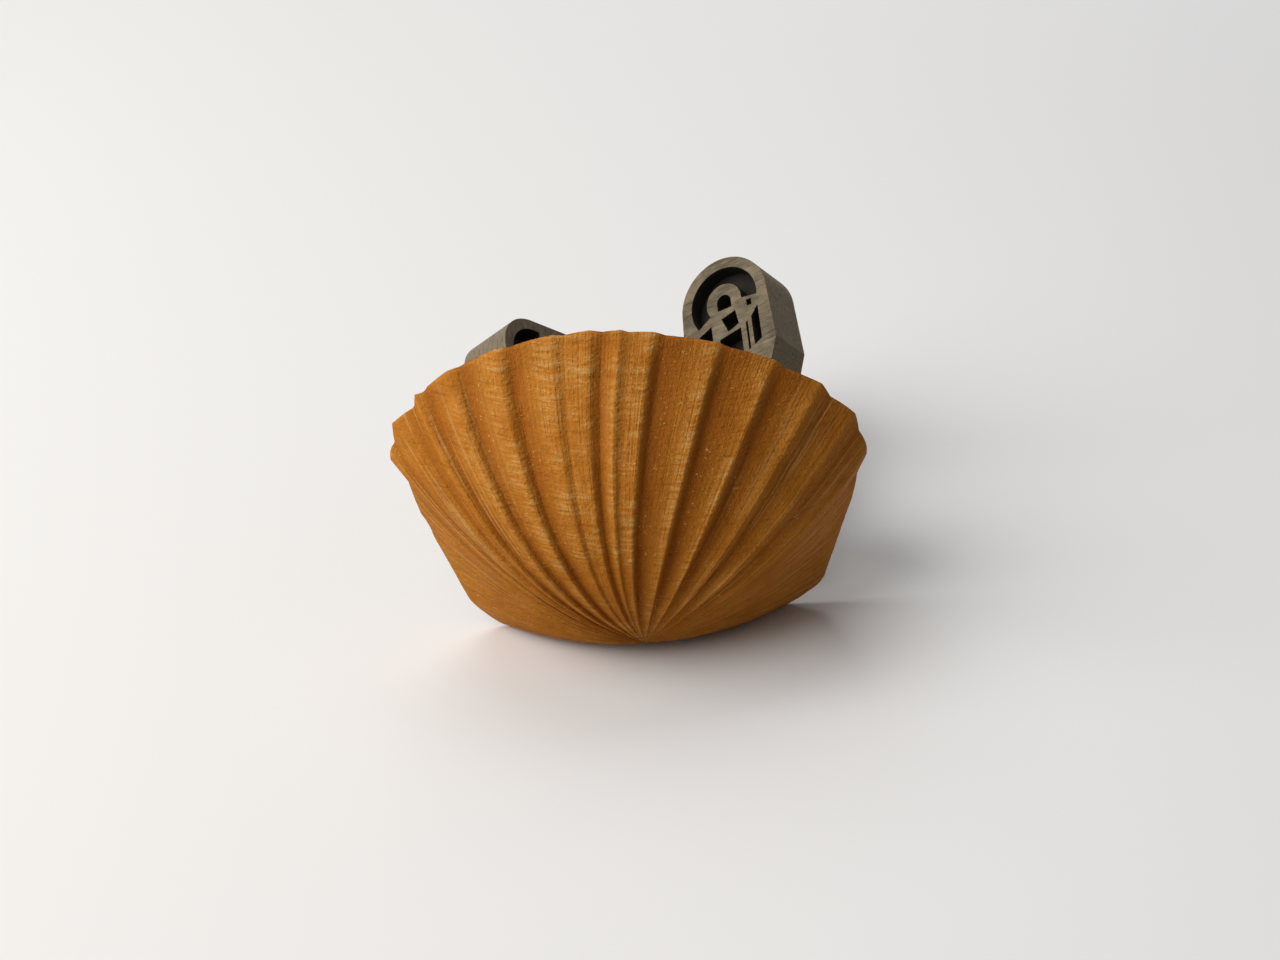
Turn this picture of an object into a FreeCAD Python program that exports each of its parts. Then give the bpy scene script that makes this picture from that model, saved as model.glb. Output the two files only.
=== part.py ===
import FreeCAD, Part
import math
import os

os.makedirs("parts", exist_ok=True)
Vector = FreeCAD.Vector

# Lengths are in millimetres and angles in degrees.
# X runs to the right of someone who looks at the shell's ribbed side, Y away from them, Z up.

# Shell bowl, standing on its straight hinge edge with its rim upright.
SHELL_HEIGHT = 87.0
RIGHT_SIDE = (54.0, 67.0, 47.0)  # end of the hinge edge, widest place of the rim and its height
LEFT_SIDE = (37.0, 61.5, 56.5)   # the same on the left: the shell grows lopsided
RIM_TOP = -7.5           # highest point of the rim, from the middle of the hinge edge
RIM_FULLNESS = 1.84      # of the arch over the widest places: 2 is an ellipse, 1 a straight line
SHELL_WALL = 3.0
BEAK = (3.5, 5.5, 22.0)  # point where the ribs meet: right, up and out from the plane of the rim
BEAK_RISE = 0.95         # slope of the shell where it leaves the beak
RIB_COUNT = 27           # ribs in a full turn about the beak
RIB_DEPTH = 1.5
RIB_FAN = 96.0           # the ribs end this far to each side of upright
RIB_FADE = 27.0          # and fade out over this last part of the way
RIM_SCALLOP = 1.0        # the ribs' height at the rim
POINTS_PER_RIB = 6       # round the rim
SHELL_LEVELS = (0.08, 0.2, 0.36, 0.54, 0.74, 0.9)  # rings drawn between the beak and the rim
SHELL_SEAT = 0.5         # depth of the flat along the hinge edge
SHELL_TURN = 8.2         # the shell is set down slightly askew

# Stand of three carved planks that cross at a central hub.
LEG_NAMES = ("right", "left", "front")
LEG_TURNS = (0.0, 120.0, 240.0)
LEG_LEAN = 55.0          # of an open plank, from upright
LEG_TWIST = 38.0         # turns the carved face towards the middle of the stand
LEG_THICKNESS = 16.5
LEG_OFFSET = 23.5        # from the stand's axis to the middle of a plank
ARM_LENGTH = 46.5        # from the pivot to the centre of the rounded tip
ARM_WIDTH = 31.5
ARM_BELLY = 29.0
TIP_RADIUS = 14.7
FOOT_WIDTH = 22.0
FOOT_FLARE = 26.0        # from the pivot down to the full width of the foot
WAIST_WIDTH = 16.0
WAIST_LENGTH = 16.0
PIVOT_HEIGHT = 19.0
STAND_TURN = 7.0         # the first plank's arm leans nearly straight back
STAND_RIGHT = 24.3       # from the middle of the shell to the stand's axis
STAND_GAP = 0.4          # from the plane of the shell's rim back to the nearest piece of the stand

# Carving in the face of an arm, round the centre of its tip.
CARVING_DEPTH = 5.5
CARVING_RIM = 3.3        # plain border round the carving
LOOP_RADIUS = 6.0        # outside of the raised loop in the middle
EYE_RADIUS = 2.4         # hole in the loop
CHANNEL_ENDS = (-8.0, 212.0)  # angles at which the sunk channel round the loop starts and ends

CARVED_OUTLINES = (
    # Sunk fields between the strands, in shares of the carved panel's half width.
    ((-0.14, -0.47), (0.30, -0.36), (0.36, -0.78), (0.02, -0.90)),
    ((0.66, -0.20), (0.80, -0.20), (0.80, -0.38), (0.66, -0.38)),
    ((-0.97, -0.80), (-0.46, -0.56), (-0.46, -1.70), (-0.97, -1.45)),
    ((0.97, -0.45), (0.97, -1.45), (0.74, -1.57), (0.74, -0.72)),
    ((0.56, -0.84), (0.62, -0.80), (0.62, -1.62), (0.56, -1.66)),
    ((-0.26, -1.05), (0.40, -0.92), (0.40, -1.70), (0.06, -1.90), (-0.26, -1.74)),
)

# Pivots.
KNUCKLE_RADIUS = 9.5
KNUCKLE_LENGTH = 17.0
PIN_RADIUS = 3.0
PIN_CLEARANCE = 0.05
PIN_END = 4.0            # from the stand's axis to a pin's inner end
PIN_HEAD_RADIUS = 6.0
PIN_HEAD_THICKNESS = 2.5
HEAD_CLEARANCE = 1.0     # round a pin's head
HUB_CLEARANCE = 1.0      # round the hub
END_CLEARANCE = 0.4      # beside each end of a knuckle
KNUCKLE_END = KNUCKLE_LENGTH / 2
HUB_FACE = KNUCKLE_END + END_CLEARANCE  # from the middle of a knuckle to the hub
HUB_HEIGHT = 18.0
HUB_CORNER_RADIUS = 16.5
FOLD_ANGLE = 40.0        # from the open stop to the folded stop
STOP_ANGLE = 50.0        # width of the stop dog, seen along the pin
STOP_SLACK = 0.5         # free angle at each end of the fold
STOP_INNER_RADIUS = 4.6
STOP_OUTER_RADIUS = 7.4
STOP_HEIGHT = 2.4
STOP_CLEARANCE = 0.3


def rim_side(side, sign):
    """Points up one side of the rim, from near the middle of the hinge edge to near the top."""
    hinge, widest, shoulder = side
    points = [(sign * hinge * share, 0.0) for share in (0.5, 0.92)]
    for share in (0.08, 0.4, 0.7):
        points.append((sign * (hinge + (widest - hinge) * share), shoulder * share))
    for angle in (0.0, 30.0, 60.0):
        across = math.cos(math.radians(angle)) ** (2 / RIM_FULLNESS)
        up = math.sin(math.radians(angle)) ** (2 / RIM_FULLNESS)
        height = shoulder + (SHELL_HEIGHT - shoulder) * up
        points.append((sign * widest * across + RIM_TOP * up ** 2, height))
    return points


def rim_outline():
    """Closed curve of the rim: a straight hinge edge, slanting sides and an arched top."""
    corners = [(0.0, 0.0)] + rim_side(RIGHT_SIDE, 1)
    corners += [(RIM_TOP, SHELL_HEIGHT)] + list(reversed(rim_side(LEFT_SIDE, -1)))
    curve = Part.BSplineCurve()
    curve.interpolate([Vector(across, up, 0) for across, up in corners], PeriodicFlag=True)
    return curve


def rim_points(inset):
    """Points round the rim, moved inwards by inset."""
    curve = rim_outline()
    count = RIB_COUNT * POINTS_PER_RIB
    points = []
    for step in range(count):
        place = curve.FirstParameter + (curve.LastParameter - curve.FirstParameter) * step / count
        along = curve.tangent(place)[0]
        inwards = Vector(-along.y, along.x, 0)
        points.append(curve.value(place) + inwards * inset)
    return points


def rib_height(point, beak):
    """Height of the ribs on the ray from the beak to a point of the rim, from -1 to 1."""
    angle = math.degrees(math.atan2(point.x - beak.x, point.y - beak.y))
    fade = min(1.0, max(0.0, (RIB_FAN - abs(angle)) / RIB_FADE))
    return fade * math.cos(math.radians(angle * RIB_COUNT))


def shell_ring(rim, beak, level):
    """One ring of the bowl: level 0 is the beak and level 1 is the rim."""
    ring = []
    for point in rim:
        ray = point - beak
        middle_height = beak.z + BEAK_RISE * ray.y / 2
        height = (1 - level) ** 2 * beak.z + 2 * level * (1 - level) * middle_height
        slope = 2 * (1 - 2 * level) * middle_height - 2 * (1 - level) * beak.z
        reach = math.hypot(ray.x, ray.y)
        outwards = Vector(-slope * ray.x / reach, -slope * ray.y / reach, reach)
        depth = RIB_DEPTH * math.sin(math.pi / 2 * min(1.0, 2 * level))
        if level == 1:
            outwards = Vector(ray.x, ray.y, 0)
            depth = RIM_SCALLOP
        outwards.normalize()
        smooth = Vector(beak.x + level * ray.x, beak.y + level * ray.y, height)
        ring.append(smooth + outwards * depth * rib_height(point, beak))
    return ring


def ring_wire(points):
    curve = Part.BSplineCurve()
    curve.interpolate(points, PeriodicFlag=True)
    return Part.Wire([curve.toShape()])


def bowl_solid(rim, beak, past_rim):
    """Solid under a bowl surface. past_rim carries it on beyond the plane of the rim."""
    first = SHELL_LEVELS[0]
    tip = []
    for point in rim:
        ray = point - beak
        tip.append(beak + Vector(ray.x, ray.y, BEAK_RISE * ray.y) * (first / 2))
    rings = [tip]
    for level in SHELL_LEVELS[1:] + (1,):
        rings.append(shell_ring(rim, beak, level))
    if past_rim:
        rings.append([point - Vector(0, 0, past_rim) for point in rings[-1]])
    return Part.makeLoft([ring_wire(ring) for ring in rings], True, False)


def make_shell():
    outer = bowl_solid(rim_points(0.0), Vector(*BEAK), 0.0)
    inner_beak = Vector(*BEAK) + Vector(0, SHELL_WALL, -SHELL_WALL)
    inner = bowl_solid(rim_points(SHELL_WALL), inner_beak, SHELL_WALL)
    shell = outer.cut(inner)
    # The rim was drawn flat, facing up: stand it upright with the ribs to the front.
    shell.rotate(Vector(0, 0, 0), Vector(1, 0, 0), 90)
    shell.translate(Vector(0, 0, -SHELL_SEAT))
    floor = Part.makeBox(
        4 * SHELL_HEIGHT, 4 * SHELL_HEIGHT, SHELL_HEIGHT,
        Vector(-2 * SHELL_HEIGHT, -2 * SHELL_HEIGHT, -SHELL_HEIGHT),
    )
    return shell.cut(floor)


def extruded(points, front, depth):
    """Prism on an outline in the plank's face, reaching back from front by depth."""
    corners = [Vector(across, front, up) for across, up in points]
    outline = Part.makePolygon(corners + corners[:1])
    return Part.Face(outline).extrude(Vector(0, depth, 0))


def disc(radius, across, up, front, depth):
    return Part.makeCylinder(radius, depth, Vector(across, front, up), Vector(0, 1, 0))


def sector_prism(inner, outer, start, end, height):
    """Part of a ring round Z, between two angles."""
    ring = Part.makeCylinder(outer, height, Vector(0, 0, 0), Vector(0, 0, 1), end - start)
    ring = ring.cut(Part.makeCylinder(inner, height))
    ring.rotate(Vector(0, 0, 0), Vector(0, 0, 1), start)
    return ring


def carving(front):
    """Everything that is sunk into the face of an arm."""
    panel = TIP_RADIUS - CARVING_RIM
    channel = sector_prism(LOOP_RADIUS, panel, CHANNEL_ENDS[0], CHANNEL_ENDS[1], CARVING_DEPTH)
    channel.rotate(Vector(0, 0, 0), Vector(1, 0, 0), 90)
    channel.translate(Vector(0, front + CARVING_DEPTH, ARM_LENGTH))
    eye = disc(EYE_RADIUS, 0, ARM_LENGTH, front, CARVING_DEPTH)
    sill = ((-EYE_RADIUS, ARM_LENGTH - EYE_RADIUS), (EYE_RADIUS, ARM_LENGTH - EYE_RADIUS),
            (EYE_RADIUS, ARM_LENGTH), (-EYE_RADIUS, ARM_LENGTH))
    sunk = [channel, eye.fuse(extruded(sill, front, CARVING_DEPTH))]
    for outline in CARVED_OUTLINES:
        points = [(across * panel, ARM_LENGTH + up * panel) for across, up in outline]
        sunk.append(extruded(points, front, CARVING_DEPTH))
    return sunk


def along_pin(radius, start, end):
    """Cylinder on the first pin's axis, between two distances from the middle of its knuckle."""
    return Part.makeCylinder(radius, end - start, Vector(start, 0, 0), Vector(1, 0, 0))


def stop_sector(start_angle, end_angle, clearance, height):
    """Ring sector on the hub's side of a knuckle. Angle 0 points down and 90 points back."""
    inner = STOP_INNER_RADIUS - clearance
    outer = STOP_OUTER_RADIUS + clearance
    sector = sector_prism(inner, outer, start_angle, end_angle, height)
    sector.rotate(Vector(0, 0, 0), Vector(0, 1, 0), 90)
    return sector


def make_leg():
    """The first plank, with the middle of its pivot at the origin: an arm above, a foot below."""
    front = -LEG_THICKNESS / 2
    foot_length = PIVOT_HEIGHT / math.cos(math.radians(LEG_LEAN)) + FOOT_WIDTH
    half = (
        (TIP_RADIUS, ARM_LENGTH),
        (ARM_WIDTH / 2, ARM_BELLY),
        (WAIST_WIDTH / 2, WAIST_LENGTH / 2),
        (WAIST_WIDTH / 2, -WAIST_LENGTH / 2),
        (FOOT_WIDTH / 2, -FOOT_FLARE),
        (FOOT_WIDTH / 2, -foot_length),
    )
    mirrored = tuple((-across, up) for across, up in reversed(half))
    plank = extruded(half + mirrored, front, LEG_THICKNESS)
    plank = plank.fuse(disc(TIP_RADIUS, 0, ARM_LENGTH, front, LEG_THICKNESS))
    plank = plank.cut(carving(front))
    plank.rotate(Vector(0, 0, 0), Vector(0, 0, 1), -LEG_TWIST)
    plank.rotate(Vector(0, 0, 0), Vector(1, 0, 0), -LEG_LEAN)
    hub_reach = math.hypot(HUB_CORNER_RADIUS, HUB_HEIGHT / 2) + HUB_CLEARANCE
    hub_room = along_pin(hub_reach, -LEG_OFFSET - HUB_CORNER_RADIUS, -KNUCKLE_END)
    head_room = along_pin(PIN_HEAD_RADIUS + HEAD_CLEARANCE, KNUCKLE_END, LEG_OFFSET)
    leg = plank.cut([hub_room, head_room])
    leg = leg.fuse(along_pin(KNUCKLE_RADIUS, -KNUCKLE_END, KNUCKLE_END))
    bore = along_pin(PIN_RADIUS + PIN_CLEARANCE, -KNUCKLE_END, KNUCKLE_END)
    slot_height = STOP_HEIGHT - END_CLEARANCE + STOP_CLEARANCE
    slot_start = -STOP_ANGLE / 2 - FOLD_ANGLE - STOP_SLACK
    slot = stop_sector(slot_start, STOP_ANGLE / 2 + STOP_SLACK, STOP_CLEARANCE, slot_height)
    slot.translate(Vector(-KNUCKLE_END, 0, 0))
    floor = Part.makeBox(
        2 * foot_length, 4 * foot_length, 2 * foot_length,
        Vector(-foot_length, -2 * foot_length, -PIVOT_HEIGHT - 2 * foot_length),
    )
    return leg.cut([bore, slot, floor]).removeSplitter()


def make_pin():
    shaft = along_pin(PIN_RADIUS, PIN_END - LEG_OFFSET, HUB_FACE)
    head = along_pin(PIN_HEAD_RADIUS, HUB_FACE, HUB_FACE + PIN_HEAD_THICKNESS)
    return shaft.fuse(head).removeSplitter()


def make_hub():
    """Three-sided block with a flat, a bore and a stop dog for each plank."""
    hub = Part.makeCylinder(HUB_CORNER_RADIUS, HUB_HEIGHT, Vector(-LEG_OFFSET, 0, -HUB_HEIGHT / 2))
    beyond = Part.makeBox(
        LEG_OFFSET, 2 * HUB_CORNER_RADIUS, HUB_HEIGHT,
        Vector(-HUB_FACE, -HUB_CORNER_RADIUS, -HUB_HEIGHT / 2),
    )
    bore = along_pin(PIN_RADIUS, PIN_END - LEG_OFFSET, -HUB_FACE)
    dog = stop_sector(-STOP_ANGLE / 2, STOP_ANGLE / 2, 0.0, STOP_HEIGHT)
    dog.translate(Vector(-HUB_FACE, 0, 0))
    axis = Vector(-LEG_OFFSET, 0, 0)
    for cut in (beyond, bore):
        hub = hub.cut([turned(cut, axis, turn) for turn in LEG_TURNS])
    return hub.fuse([turned(dog, axis, turn) for turn in LEG_TURNS])


def turned(shape, axis, angle):
    copy = shape.copy()
    copy.rotate(axis, Vector(0, 0, 1), angle)
    return copy


def make_stand():
    """All pieces of the stand, with the stand's axis on Z and its feet at height 0."""
    on_axis = Vector(LEG_OFFSET, 0, PIVOT_HEIGHT)
    pieces = {"stand_hub": make_hub()}
    for name, turn in zip(LEG_NAMES, LEG_TURNS):
        axis = Vector(-LEG_OFFSET, 0, 0)
        pieces["leg_" + name] = turned(make_leg(), axis, turn)
        pieces["pivot_pin_" + name] = turned(make_pin(), axis, turn)
    for shape in pieces.values():
        shape.translate(on_axis)
        shape.rotate(Vector(0, 0, 0), Vector(0, 0, 1), STAND_TURN - SHELL_TURN)
    return pieces


def box_of(shapes):
    return Part.makeCompound(shapes).optimalBoundingBox(False, False)


def assemble():
    """The stand behind the plane of the shell's rim, with the origin under the middle of it all."""
    pieces = make_stand()
    stand_front = box_of(list(pieces.values())).YMin
    stand_axis = Vector(STAND_RIGHT, STAND_GAP - stand_front, 0)
    for shape in pieces.values():
        shape.translate(stand_axis)
    pieces["shell_bowl"] = make_shell()
    for shape in pieces.values():
        shape.rotate(Vector(0, 0, 0), Vector(0, 0, 1), SHELL_TURN)
    box = box_of(list(pieces.values()))
    middle = Vector((box.XMin + box.XMax) / 2, (box.YMin + box.YMax) / 2, 0)
    for shape in pieces.values():
        shape.translate(-middle)
    stand_axis = FreeCAD.Rotation(Vector(0, 0, 1), SHELL_TURN).multVec(stand_axis) - middle
    print("stand axis", stand_axis, "pivot height", PIVOT_HEIGHT)
    print("shell hinge centre", -middle)
    return pieces


for node, solid in assemble().items():
    print(node, solid.isValid(), len(solid.Solids), round(solid.Volume, 1))
    solid.exportStep("parts/" + node + ".step")
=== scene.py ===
import math
import bpy
import numpy as np
from mathutils import Matrix, Vector, noise


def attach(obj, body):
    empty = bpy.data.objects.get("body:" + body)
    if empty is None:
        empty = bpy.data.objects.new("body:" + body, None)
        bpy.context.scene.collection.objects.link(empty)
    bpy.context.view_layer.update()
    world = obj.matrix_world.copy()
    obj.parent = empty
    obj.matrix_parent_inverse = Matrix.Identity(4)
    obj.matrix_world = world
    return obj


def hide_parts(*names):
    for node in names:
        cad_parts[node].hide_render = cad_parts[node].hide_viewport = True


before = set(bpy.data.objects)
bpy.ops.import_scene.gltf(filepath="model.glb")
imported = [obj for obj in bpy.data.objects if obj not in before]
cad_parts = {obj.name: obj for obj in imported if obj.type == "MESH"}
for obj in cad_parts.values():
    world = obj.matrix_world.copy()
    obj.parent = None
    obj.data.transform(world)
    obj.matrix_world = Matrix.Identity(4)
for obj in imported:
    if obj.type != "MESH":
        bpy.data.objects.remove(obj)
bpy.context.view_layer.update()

# Metres and degrees. X runs to the right of someone facing the shell's ribbed side, Y away, Z up.
MM = 0.001

# Outline of the shell, in its own axes: u to the right, v up, w out from the plane of the rim.
SHELL_CENTRE = Vector((-2.51, -38.84, 0.0)) * MM  # middle of the hinge edge
SHELL_TURN = 8.2           # about Z
SHELL_HEIGHT = 87.0 * MM
RIGHT_SIDE = (54.0 * MM, 67.0 * MM, 47.0 * MM)  # end of the hinge edge, widest place, its height
LEFT_SIDE = (37.0 * MM, 61.5 * MM, 56.5 * MM)
RIM_TOP = -7.5 * MM        # where the highest place of the rim lies, across
RIM_FULLNESS = 1.84        # 2 would make the upper part of the rim an ellipse
CORNER_CUT = 0.16          # share of the hinge edge and of the side that rounds off their corner
SIDE_END = 0.98            # share of the side after which the upper part takes over
RIM_POINTS = (20, 30, 60)  # along the hinge edge, the side and the upper part of each half
RIM_STEP = 0.5             # degrees between two radii of the rim
RIM_SMOOTHING = 3          # radii to either side that each one is averaged with
BEAK = (3.5 * MM, 5.5 * MM, 22.0 * MM)  # where the ribs meet: u, v, w
BEAK_RISE = 0.95           # slope of the shell where it leaves the beak straight upwards
SHELL_SEAT = 0.5 * MM      # cut off below, so that the shell stands on a flat
SHELL_WALL = 3.0 * MM

# Lines of the ribs about the beak, in degrees from upright: sharp crests, and between each two
# a groove that lies close beside one of them, with its depth.
RIB_CRESTS = (-86, -77, -69, -61, -53, -47, -40.5, -33.5, -24.5, -14.5, -8, -2.3,
              3.8, 16.4, 28, 39, 48.5, 57.5, 66.5, 76, 86)
RIB_GROOVES = (-79.5, -71.5, -63.5, -55, -49.7, -42.2, -38.7, -31.4, -22.4, -13, -5.8, -0.8,
               6.0, 18.8, 30.6, 42, 52, 60.5, 69.5, 79)
GROOVE_DEPTHS = (0.4, 0.5, 0.7, 1.1, 1.4, 1.4, 1.6, 1.8, 1.9, 0.7, 1.7, 0.8,
                 2.3, 2.3, 2.0, 1.6, 1.3, 0.9, 0.6, 0.4)  # millimetres
DEEP_GROOVE = 2.0 * MM     # depth from which the groove colour, partly stain and partly painted shade, is at its darkest
RIB_CURL = 22.0            # the ribs leave the beak leaning this far to the left, and straighten out
RIB_GROWTH = 2.3           # they have their full depth from 1 / RIB_GROWTH of the way to the rim
FLANK_ANGLES = (-10.0, 5.0)
FLANK_POWERS = (1.25, 0.8)  # above 1 the crests are broad, below 1 the grooves are
NOTCH_ANGLES = (-66.0, -54.0, -41.0, -38.0, 25.0, 38.0, 58.0, 66.0)
NOTCH_DEPTHS = (0.0, 2.8 * MM, 2.4 * MM, 0.7 * MM, 0.6 * MM, 1.4 * MM, 1.6 * MM, 0.0)  # in the rim
NOTCH_BAND = 0.1           # share of the way to the rim over which ribs turn into notches

# Fine lines along the ribs at the sides, and the print's unevenness.
FINE_RIB = 0.10 * MM       # height
FINE_SPACING = 2.1         # degrees from one to the next
FINE_WANDER = 2            # radians by which they stray from even spacing
FINE_WANDER_RATE = 23      # how quickly that changes from line to line
FINE_ANGLES = (20.0, 45.0, 85.0, 95.0)  # to either side of upright
FINE_SHARES = (0.0, 1.0, 1.0, 0.0)      # of the height, at these angles
UNEVENNESS = ((0.40 * MM, 9 * MM), (0.20 * MM, 2.4 * MM))  # height and size

# Mesh of the shell.
RIB_REACH = 96.0           # degrees from upright that the fine columns go to
RIB_STEP = 0.5             # degrees between two of them
PLAIN_STEP = 4.0           # and between two columns elsewhere
SHELL_ROWS = 112
ROW_POWER = 0.9            # below 1 the rows lie closer towards the rim
FIRST_LEVEL = 0.004        # the first row is a small ring round the beak

# Material of the shell, with linear colours.
WOOD_DEEP = (0.49, 0.172, 0.017, 1)
WOOD_BRIGHT = (0.58, 0.226, 0.028, 1)
# Grooves: partly a stain, partly painted shade.
WOOD_GROOVE_STAIN_AND_SHADE = (0.36, 0.112, 0.009, 1)
WOOD_PALE_LAYER = (0.66, 0.37, 0.12, 1)
WOOD_DARK_LAYER = (0.23, 0.064, 0.004, 1)
WOOD_PALE_LINE = (0.68, 0.42, 0.16, 1)
WOOD_DARK_LINE = (0.24, 0.068, 0.004, 1)
WOOD_CREST = (0.62, 0.37, 0.13, 1)
WOOD_SPECK = (0.70, 0.41, 0.12, 1)
SIDE_ANGLES = (22.0, 45.0)  # from streaks along the layers to streaks along the ribs
LAYER_SQUEEZE = (1.0, 1.0, 11.0)  # streaks along the layers are long and flat
RIB_STRETCH = 1.3          # streaks along the ribs: how often they change between beak and rim

# Stand and its material.
STAND_TURN = 7.0
LEG_LEAN = 55.0
LEG_TWIST = 38.0
LEG_TURNS = {"right": 0.0, "left": 120.0, "front": 240.0}
HUB_AXES = (Vector((1, 0, 0)), Vector((0, 0, 1)), Vector((0, 1, 0)))  # across, stacked, along
LAYER = 0.3 * MM           # thickness of a printed layer
PRINT_DARK = (0.105, 0.083, 0.051, 1)
PRINT_LIGHT = (0.215, 0.172, 0.110, 1)
# Sides of the planks: painted sheen of the layers catching light.
PRINT_SIDE_SHEEN = (0.34, 0.275, 0.19, 1)
PRINT_DARK_STREAK = (0.050, 0.039, 0.024, 1)
PRINT_PALE_STREAK = (0.34, 0.28, 0.185, 1)
PRINT_LAYER_LINE = (0.060, 0.048, 0.033, 1)
# Painted shade in the recesses.
PRINT_RECESS_SHADE = (0.010, 0.008, 0.006, 1)
STACK_SQUEEZE = 9.0        # streaks run across a plank: short from layer to layer
ALONG_SQUEEZE = 7.0        # and along the plank
SIDE_FACING = (0.9, 0.5)   # how squarely a face meets the stack: from its flat faces to its sides
RECESS_REACH = 9 * MM      # walls this near paint shade into a recess
RECESS_OPENNESS = (0.6, 0.98)  # from a recess in full painted shade to the open surface

# Floor, its colour as seen, and its colour for the light that it throws back.
FLOOR_SIZE = 6.0
FLOOR_PLACE = (0.0, 1.0, 0.0)
# The left and right colours paint light: the paper brighter and cooler to the right.
FLOOR_LEFT = (0.89, 0.885, 0.875, 1)
FLOOR_RIGHT = (0.96, 0.965, 0.985, 1)
FLOOR_BOUNCE = (0.58, 0.53, 0.46, 1)
FLOOR_FAR = (0.90, 0.90, 0.90, 1)
FLOOR_PAINTED_LIGHT_SPAN = (-0.2, 0.25)  # from the left colour to the right one, across: painted light, brighter and cooler to the right
FLOOR_FADE = (0.25, 1.3)   # from the paper to the far colour, away from the origin

# Light: the world's strength as light and as seen, and the lamps with their places from the view's
# target, sizes, powers and colours.
WORLD_COLOUR = (1.0, 0.97, 0.93, 1)
WORLD_LIGHT = 0.105
WORLD_SEEN = 0.90
LAMPS = {
    "key": ((-0.92, -0.36, 0.80), 1.3, 18.8, (1.0, 0.98, 0.95)),
    "top": ((-0.3, 0.75, 1.0), 0.9, 6.0, (1.0, 0.99, 0.98)),
}

# Camera, as fitted to the outlines in the photograph.
VIEW_TARGET = SHELL_CENTRE + Vector((5.16, 0.0, 42.32)) * MM
VIEW_ELEVATION = 28.46
VIEW_DISTANCE = 633.0 * MM
VIEW_LENS = 67.2
VIEW_SENSOR = 36.0


def rim_half(side, sign):
    """Half of the rim, from the middle of the hinge edge up to the top."""
    hinge, widest, shoulder = side
    hinge_points, side_points, upper_points = RIM_POINTS
    shares = np.linspace(0.0, 1 - CORNER_CUT, hinge_points)
    points = [(sign * hinge * share, 0.0) for share in shares]
    for share in np.linspace(CORNER_CUT, SIDE_END, side_points):
        points.append((sign * (hinge + (widest - hinge) * share), shoulder * share))
    for angle in np.radians(np.linspace(0.0, 90.0, upper_points)):
        across = max(0.0, math.cos(angle)) ** (2 / RIM_FULLNESS)
        up = math.sin(angle) ** (2 / RIM_FULLNESS)
        height = shoulder + (SHELL_HEIGHT - shoulder) * up
        points.append((sign * widest * across + RIM_TOP * up ** 2, height))
    return points


def rim_radius(angles):
    """Distance from the beak to the rim, for angles from upright."""
    rim = np.array(rim_half(RIGHT_SIDE, 1) + rim_half(LEFT_SIDE, -1)[::-1])
    across = rim[:, 0] - BEAK[0]
    up = rim[:, 1] - BEAK[1]
    rim_angles = np.degrees(np.arctan2(across, up))
    order = np.argsort(rim_angles)
    steps = np.arange(-180.0, 180.0, RIM_STEP)
    radii = np.interp(steps, rim_angles[order], np.hypot(across, up)[order], period=360)
    shifts = range(-RIM_SMOOTHING, RIM_SMOOTHING + 1)
    smooth = sum(np.roll(radii, shift) for shift in shifts) / len(shifts)
    return np.interp(angles, steps, smooth, period=360)


def rib_share(angles):
    """How far down from its crest each angle lies, from 0 to 1, and the depth of the groove there."""
    lines = [RIB_CRESTS[0]]
    depths = [0.0]
    for groove, crest, depth in zip(RIB_GROOVES, RIB_CRESTS[1:], GROOVE_DEPTHS):
        lines += [groove, crest]
        depths += [depth * MM, 0.0]
    place = np.interp(angles, lines, np.arange(len(lines)))
    left = np.minimum(place.astype(int), len(lines) - 2)
    depths = np.array(depths)
    share = np.where(depths[left] > 0, 1 - (place - left), place - left)
    return share, np.maximum(depths[left], depths[left + 1])


def groove_depth(angles):
    """Depth below the crests. Fine lines run along the ribs at the sides."""
    share, deepest = rib_share(angles)
    wander = FINE_WANDER * np.sin(np.radians(FINE_WANDER_RATE * angles))
    fine = np.sin(2 * np.pi * angles / FINE_SPACING + wander)
    fine *= FINE_RIB * np.interp(np.abs(angles), FINE_ANGLES, FINE_SHARES)
    return deepest * share ** np.interp(angles, FLANK_ANGLES, FLANK_POWERS) - fine


def notch_depth(angles):
    """Depth of the notches in the rim, with sharp tips between them."""
    return rib_share(angles)[0] * np.interp(angles, NOTCH_ANGLES, NOTCH_DEPTHS)


def shell_surface(angles, levels):
    """Outer and inner points of the shell, and how deep in a groove each lies.

    A level is the share of the way from the beak to the rim.
    """
    level = levels[:, None]
    lean = np.where(np.abs(angles) < 90, RIB_CURL * np.cos(np.radians(angles)), 0.0)
    directions = angles[None, :] - lean * (1 - level)
    radius = rim_radius(directions)
    turn = np.radians(directions)
    across, up = np.sin(turn), np.cos(turn)
    # In each direction a quadratic curve runs from the beak past this middle height to the rim.
    middle = BEAK[2] + BEAK_RISE * radius * up / 2
    height = (1 - level) ** 2 * BEAK[2] + 2 * level * (1 - level) * middle
    slope = (2 * (1 - 2 * level) * middle - 2 * (1 - level) * BEAK[2]) / radius
    length = np.hypot(slope, 1)
    growth = np.sin(np.pi / 2 * np.minimum(1, RIB_GROWTH * level))
    sunk = groove_depth(angles)[None, :] * growth
    # Towards the rim the ribs turn from waves in the surface into notches in the outline.
    edge = np.clip((level - (1 - NOTCH_BAND)) / NOTCH_BAND, 0, 1) ** 2
    out_plane = -slope / length * (1 - edge) + edge
    out_normal = 1 / length * (1 - edge)
    depth = sunk * (1 - edge) + notch_depth(angles) * edge

    def offset(amount):
        reach = level * radius - out_plane * amount
        points = (BEAK[0] + reach * across, BEAK[1] + reach * up, height - out_normal * amount)
        return np.stack(np.broadcast_arrays(*points), axis=-1)

    groove = sunk / DEEP_GROOVE
    return offset(depth), offset(depth + SHELL_WALL), np.broadcast_to(groove, depth.shape)


def roughened(points):
    """The points with the slight unevenness of a printed surface."""
    for point in points:
        place = Vector(point)
        for height, size in UNEVENNESS:
            point[2] += height * noise.noise(place / size)
    return points


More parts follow.
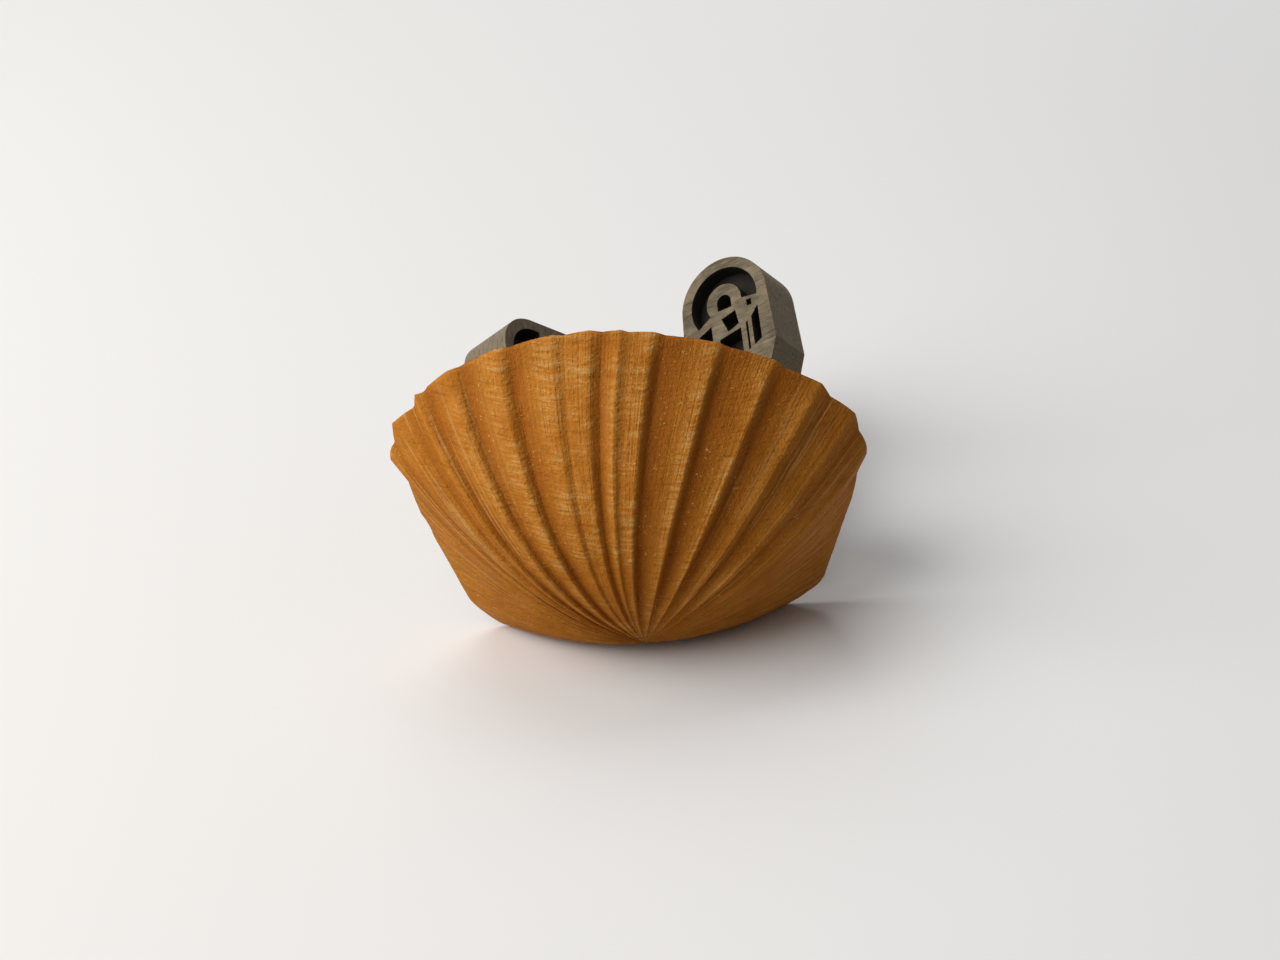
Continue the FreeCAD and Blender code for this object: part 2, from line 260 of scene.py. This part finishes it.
def grid_faces(first, rows, columns, flip):
    """Quads of a grid that closes on itself across its columns."""
    faces = []
    for row in range(rows - 1):
        for column in range(columns):
            beside = (column + 1) % columns
            a, b = first + row * columns + column, first + row * columns + beside
            quad = (a, b, b + columns, a + columns)
            faces.append(quad[::-1] if flip else quad)
    return faces


def shell_faces(rows, columns):
    """Faces of the outside, the inside, the rim between them and the two caps at the beak."""
    inside = rows * columns
    faces = grid_faces(0, rows, columns, True)
    faces += grid_faces(inside, rows, columns, False)
    rim = (rows - 1) * columns
    for column in range(columns):
        here, beside = rim + column, rim + (column + 1) % columns
        faces.append((beside, here, inside + here, inside + beside))
    faces.append(tuple(range(columns)))
    faces.append(tuple(range(inside, inside + columns))[::-1])
    return faces


def make_shell():
    """The ribbed shell, placed in its mesh. Its attributes tell the material where the ribs run."""
    ribbed = np.arange(-RIB_REACH, RIB_REACH, RIB_STEP)
    plain = np.arange(RIB_REACH, 360 - RIB_REACH, PLAIN_STEP)
    angles = np.concatenate([ribbed, plain])
    levels = np.linspace(0.0, 1.0, SHELL_ROWS) ** ROW_POWER
    levels[0] = FIRST_LEVEL
    outer, inner, groove = shell_surface(angles, levels)
    outer = roughened(outer.reshape(-1, 3).copy())
    points = np.concatenate([outer, inner.reshape(-1, 3)])
    points[:, 1] = np.maximum(points[:, 1] - SHELL_SEAT, 0.0)
    mesh = bpy.data.meshes.new("shell_skin")
    mesh.from_pydata(points.tolist(), [], shell_faces(len(levels), len(angles)))
    turn = Matrix.Rotation(math.radians(SHELL_TURN), 4, "Z") @ Matrix.Rotation(math.pi / 2, 4, "X")
    mesh.transform(Matrix.Translation(SHELL_CENTRE) @ turn)
    mesh.shade_smooth()
    columns_of = np.broadcast_to(angles, groove.shape)
    rows_of = np.broadcast_to(levels[:, None], groove.shape)
    for name, values in (("sunk", groove), ("rib_angle", columns_of), ("level", rows_of)):
        attribute = mesh.attributes.new(name, "FLOAT", "POINT")
        attribute.data.foreach_set("value", np.tile(values.reshape(-1), 2).astype(np.float32))
    shell = bpy.data.objects.new("shell_skin", mesh)
    bpy.context.scene.collection.objects.link(shell)
    return shell


class Nodes:
    """The node tree of a new material or world, and short ways to add and link its nodes."""

    def __init__(self, owner):
        owner.use_nodes = True
        self.tree = owner.node_tree

    def add(self, kind, inputs=None, **settings):
        node = self.tree.nodes.new(kind)
        for key, value in settings.items():
            setattr(node, key, value)
        for key, value in (inputs or {}).items():
            self.feed(node.inputs[key], value)
        return node

    def feed(self, socket, value):
        if isinstance(value, bpy.types.NodeSocket):
            self.tree.links.new(value, socket)
        else:
            socket.default_value = value

    def attribute(self, name):
        return self.add("ShaderNodeAttribute", attribute_name=name).outputs["Fac"]

    def math(self, operation, first, second=0.0):
        return self.add("ShaderNodeMath", {0: first, 1: second}, operation=operation).outputs[0]

    def times(self, product, *factors):
        for factor in factors:
            product = self.math("MULTIPLY", product, factor)
        return product

    def dot(self, vector, axis):
        node = self.add("ShaderNodeVectorMath", {0: vector, 1: axis}, operation="DOT_PRODUCT")
        return node.outputs["Value"]

    def mix(self, share, first, second):
        """The first colour where the share is 0, and the second where it is 1."""
        inputs = {"Factor_Float": share, "A_Color": first, "B_Color": second}
        node = self.add("ShaderNodeMix", data_type="RGBA")
        for socket in node.inputs:
            if socket.identifier in inputs:
                self.feed(socket, inputs[socket.identifier])
        return next(socket for socket in node.outputs if socket.identifier == "Result_Color")

    def tint(self, colour, over, mask, strength):
        """The colour with another one over it where the mask is."""
        return self.mix(self.times(mask, strength), colour, over)

    def noise(self, vector, scale, detail, rough):
        inputs = {"Vector": vector, "Scale": scale, "Detail": detail, "Roughness": rough}
        return self.add("ShaderNodeTexNoise", inputs).outputs["Fac"]

    def ramp(self, value, start, end):
        """From 0 at the start to 1 at the end, which may be the lower of the two."""
        inputs = {"Value": value, "From Min": start, "From Max": end}
        node = self.add("ShaderNodeMapRange", inputs, interpolation_type="SMOOTHSTEP")
        return node.outputs["Result"]

    def relief(self, *layers):
        """The normal, bent by one height after the other, each with its distance and strength."""
        normal = None
        for height, distance, strength in layers:
            inputs = {"Height": height, "Distance": distance, "Strength": strength}
            if normal:
                inputs["Normal"] = normal
            normal = self.add("ShaderNodeBump", inputs).outputs["Normal"]
        return normal

    def seen(self):
        """1 for what the camera sees, also in a mirror or through glass, and 0 for other light."""
        path = self.add("ShaderNodeLightPath").outputs
        seen = path["Is Camera Ray"]
        for kind in ("Is Glossy Ray", "Is Transmission Ray"):
            seen = self.math("MAXIMUM", seen, path[kind])
        return seen

    def surface(self, colour, roughness, specular):
        """Sets and returns the material's own shader."""
        shader = self.tree.nodes["Principled BSDF"]
        self.feed(shader.inputs["Base Color"], colour)
        self.feed(shader.inputs["Roughness"], roughness)
        self.feed(shader.inputs["Specular IOR Level"], specular)
        return shader


def shell_material():
    """Wood-filled print: streaks along the layers in the middle and along the ribs at the sides."""
    material = bpy.data.materials.new("wood_filled_print")
    nodes = Nodes(material)
    place = nodes.add("ShaderNodeTexCoord").outputs["Object"]
    sunk = nodes.attribute("sunk")
    rib_angle = nodes.attribute("rib_angle")
    along = nodes.times(nodes.attribute("level"), RIB_STRETCH)
    side = nodes.ramp(nodes.math("ABSOLUTE", rib_angle), *SIDE_ANGLES)
    middle = nodes.math("SUBTRACT", 1.0, side)
    along_rib = nodes.add("ShaderNodeCombineXYZ", {"X": rib_angle, "Y": along}).outputs["Vector"]
    along_layer = nodes.add("ShaderNodeMapping", {"Vector": place, "Scale": LAYER_SQUEEZE})
    along_layer = along_layer.outputs["Vector"]
    rib_streaks = nodes.noise(along_rib, scale=1.5, detail=3.0, rough=0.65)
    layer_streaks = nodes.noise(along_layer, scale=130.0, detail=3.0, rough=0.65)
    blotches = nodes.noise(place, scale=70.0, detail=4.0, rough=0.6)
    grain = nodes.noise(place, scale=1100.0, detail=2.0, rough=0.7)

    colour = nodes.mix(nodes.ramp(blotches, 0.3, 0.7), WOOD_DEEP, WOOD_BRIGHT)
    # Darker down in the grooves: partly a stain, partly painted shade.
    colour = nodes.mix(nodes.ramp(sunk, 0.1, 1.0), colour, WOOD_GROOVE_STAIN_AND_SHADE)
    pale_layers = nodes.times(
        nodes.ramp(layer_streaks, 0.46, 0.62), nodes.ramp(blotches, 0.38, 0.56),
        middle, nodes.ramp(sunk, 0.55, 0.15))
    colour = nodes.tint(colour, WOOD_PALE_LAYER, pale_layers, strength=0.7)
    dark_layers = nodes.ramp(layer_streaks, 0.46, 0.28)
    colour = nodes.tint(colour, WOOD_DARK_LAYER, dark_layers, strength=0.4)
    pale_lines = nodes.times(nodes.ramp(rib_streaks, 0.56, 0.63), side)
    colour = nodes.tint(colour, WOOD_PALE_LINE, pale_lines, strength=0.5)
    dark_lines = nodes.times(nodes.ramp(rib_streaks, 0.45, 0.32), side)
    colour = nodes.tint(colour, WOOD_DARK_LINE, dark_lines, strength=0.4)
    crests = nodes.times(nodes.ramp(sunk, 0.02, -0.06), side)
    colour = nodes.tint(colour, WOOD_CREST, crests, strength=0.3)
    specks = nodes.times(nodes.ramp(grain, 0.64, 0.70), nodes.ramp(blotches, 0.44, 0.56))
    colour = nodes.tint(colour, WOOD_SPECK, specks, strength=0.8)

    normal = nodes.relief((layer_streaks, 0.6 * MM, 0.6), (rib_streaks, 0.6 * MM, 0.6),
                          (blotches, 1.2 * MM, 0.5), (grain, 0.6 * MM, 0.7))
    shader = nodes.surface(colour, roughness=0.62, specular=0.08)
    nodes.feed(shader.inputs["Normal"], normal)
    return material


def plank_axes(turn):
    """Directions across, through and along an open plank."""
    twist = Matrix.Rotation(math.radians(-LEG_TWIST), 3, "Z")
    lean = Matrix.Rotation(math.radians(-LEG_LEAN), 3, "X")
    axes = Matrix.Rotation(math.radians(STAND_TURN + turn), 3, "Z") @ lean @ twist
    return axes.col[0], axes.col[1], axes.col[2]


def stand_material(name, across, stacked, along):
    """Dark print: its layers are stacked in one direction and show on the sides, which are painted
    lighter as a painted sheen; its recesses get painted shade.
    """
    material = bpy.data.materials.new(name)
    nodes = Nodes(material)
    coordinates = nodes.add("ShaderNodeTexCoord").outputs
    place = coordinates["Object"]
    depth = nodes.dot(place, stacked)
    wave = nodes.math("SINE", nodes.times(depth, 2 * math.pi / LAYER))
    drawn_out = nodes.add("ShaderNodeCombineXYZ", {
        "X": nodes.dot(place, across),
        "Y": nodes.times(depth, STACK_SQUEEZE),
        "Z": nodes.times(nodes.dot(place, along), ALONG_SQUEEZE),
    }).outputs["Vector"]
    streaks = nodes.noise(drawn_out, scale=150.0, detail=4.0, rough=0.65)
    blotches = nodes.noise(place, scale=130.0, detail=4.0, rough=0.65)
    grain = nodes.noise(place, scale=1300.0, detail=2.0, rough=0.7)
    facing = nodes.math("ABSOLUTE", nodes.dot(coordinates["Normal"], stacked))
    side = nodes.ramp(facing, *SIDE_FACING)
    nearness = {"Distance": RECESS_REACH}
    openness = nodes.add("ShaderNodeAmbientOcclusion", nearness, samples=8, only_local=True)
    openness = nodes.ramp(openness.outputs["AO"], *RECESS_OPENNESS)

    colour = nodes.mix(nodes.ramp(blotches, 0.3, 0.7), PRINT_DARK, PRINT_LIGHT)
    # The sides painted lighter: painted sheen of the layers catching light.
    colour = nodes.tint(colour, PRINT_SIDE_SHEEN, side, strength=0.5)
    dark_streaks = nodes.ramp(streaks, 0.48, 0.32)
    colour = nodes.tint(colour, PRINT_DARK_STREAK, dark_streaks, strength=0.75)
    pale_streaks = nodes.ramp(streaks, 0.55, 0.7)
    colour = nodes.tint(colour, PRINT_PALE_STREAK, pale_streaks, strength=0.5)
    layer_lines = nodes.times(nodes.ramp(wave, 0.2, -0.8), side)
    colour = nodes.tint(colour, PRINT_LAYER_LINE, layer_lines, strength=0.4)
    # Painted shade in the recesses, darkest where walls are near.
    colour = nodes.mix(openness, PRINT_RECESS_SHADE, colour)

    normal = nodes.relief((wave, 0.06 * MM, 0.7), (streaks, 0.5 * MM, 0.6), (grain, 0.3 * MM, 0.5))
    shader = nodes.surface(colour, roughness=0.65, specular=0.2)
    nodes.feed(shader.inputs["Normal"], normal)
    return material


def paint(thing, material):
    thing.data.materials.clear()
    thing.data.materials.append(material)


def make_floor():
    """Pale paper with painted light, brighter and cooler to the right, that fades to an even white
    far from the object.
    """
    bpy.ops.mesh.primitive_plane_add(size=FLOOR_SIZE, location=FLOOR_PLACE)
    floor = bpy.context.object
    floor.name = "floor"
    material = bpy.data.materials.new("floor_paper")
    nodes = Nodes(material)
    seen = nodes.seen()
    place = nodes.add("ShaderNodeNewGeometry").outputs["Position"]
    across = nodes.add("ShaderNodeSeparateXYZ", {"Vector": place}).outputs["X"]
    # Painted light: the paper brighter and cooler to the right.
    colour = nodes.mix(nodes.ramp(across, *FLOOR_PAINTED_LIGHT_SPAN), FLOOR_LEFT, FLOOR_RIGHT)
    colour = nodes.mix(seen, FLOOR_BOUNCE, colour)
    paper = nodes.surface(colour, roughness=0.9, specular=0.0).outputs["BSDF"]
    away = nodes.add("ShaderNodeVectorMath", {0: place}, operation="LENGTH").outputs["Value"]
    far = nodes.times(nodes.ramp(away, *FLOOR_FADE), seen)
    white = nodes.add("ShaderNodeEmission", {"Color": FLOOR_FAR}).outputs["Emission"]
    fade = nodes.add("ShaderNodeMixShader", {0: far, 1: paper, 2: white}).outputs["Shader"]
    nodes.feed(nodes.tree.nodes["Material Output"].inputs["Surface"], fade)
    paint(floor, material)


def make_camera():
    data = bpy.data.cameras.new("view")
    data.lens = VIEW_LENS
    data.sensor_width = VIEW_SENSOR
    camera = bpy.data.objects.new("view", data)
    bpy.context.scene.collection.objects.link(camera)
    elevation = math.radians(VIEW_ELEVATION)
    direction = Vector((0, -math.cos(elevation), math.sin(elevation)))
    camera.location = VIEW_TARGET + VIEW_DISTANCE * direction
    camera.rotation_euler = (math.pi / 2 - elevation, 0, 0)
    bpy.context.scene.camera = camera
    bpy.context.scene.view_settings.view_transform = "Standard"


def make_light():
    """A dim world that is seen as nearly white, and soft square lamps that face the object."""
    world = bpy.data.worlds.new("studio")
    nodes = Nodes(world)
    levels = {"Value": nodes.seen(), "To Min": WORLD_LIGHT, "To Max": WORLD_SEEN}
    strength = nodes.add("ShaderNodeMapRange", levels).outputs["Result"]
    backdrop = nodes.tree.nodes["Background"]
    nodes.feed(backdrop.inputs["Color"], WORLD_COLOUR)
    nodes.feed(backdrop.inputs["Strength"], strength)
    bpy.context.scene.world = world
    for name, (offset, size, power, colour) in LAMPS.items():
        data = bpy.data.lights.new(name, "AREA")
        data.size = size
        data.energy = power
        data.color = colour
        lamp = bpy.data.objects.new(name, data)
        bpy.context.scene.collection.objects.link(lamp)
        lamp.location = VIEW_TARGET + Vector(offset)
        lamp.rotation_euler = (-Vector(offset)).to_track_quat("-Z", "Y").to_euler()


shell = make_shell()
paint(shell, shell_material())
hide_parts("shell_bowl")
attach(shell, "shell")
for leg, turn in LEG_TURNS.items():
    print_of_leg = stand_material("dark_print_" + leg, *plank_axes(turn))
    paint(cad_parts["leg_" + leg], print_of_leg)
    paint(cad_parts["pivot_pin_" + leg], print_of_leg)
paint(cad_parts["stand_hub"], stand_material("dark_print_hub", *HUB_AXES))
make_floor()
make_camera()
make_light()
